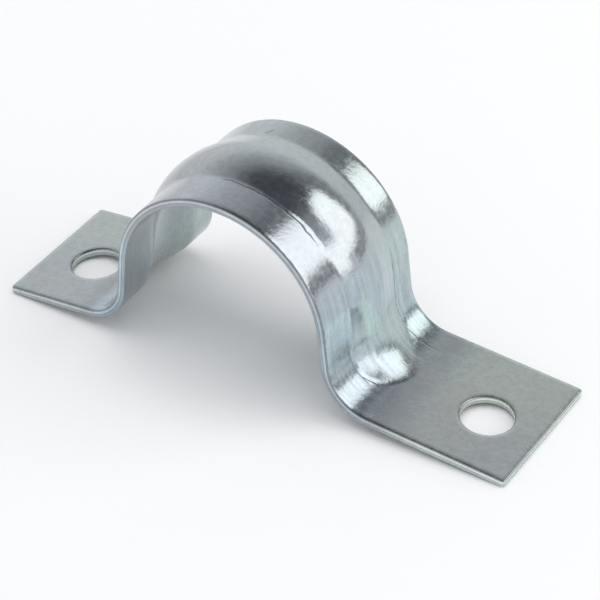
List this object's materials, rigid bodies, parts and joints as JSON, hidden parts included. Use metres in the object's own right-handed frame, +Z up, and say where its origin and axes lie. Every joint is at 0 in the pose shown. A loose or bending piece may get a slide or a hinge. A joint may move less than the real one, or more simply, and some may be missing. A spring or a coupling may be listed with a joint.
{
  "type": "conduit strap",
  "caption": "Pressed sheet-steel strap: a ribbed arch holds a conduit down, and a drilled flat foot at each end takes a screw.",
  "frame": {"origin": "on the surface the strap stands on, below the middle of its outer box", "axes": "+Z up out of the wall that the feet are screwed to; +X along the strip from the short foot to the long foot; Y across the strip, along the conduit"},
  "size_m": [0.0692, 0.019, 0.026],
  "materials": {
    "zinc_plate": "bright zinc plate with a faint blue passivation, over rolled mild steel; sheared edges"
  },
  "bodies": {
    "root": {"strap": "zinc_plate"}
  },
  "joints": []
}
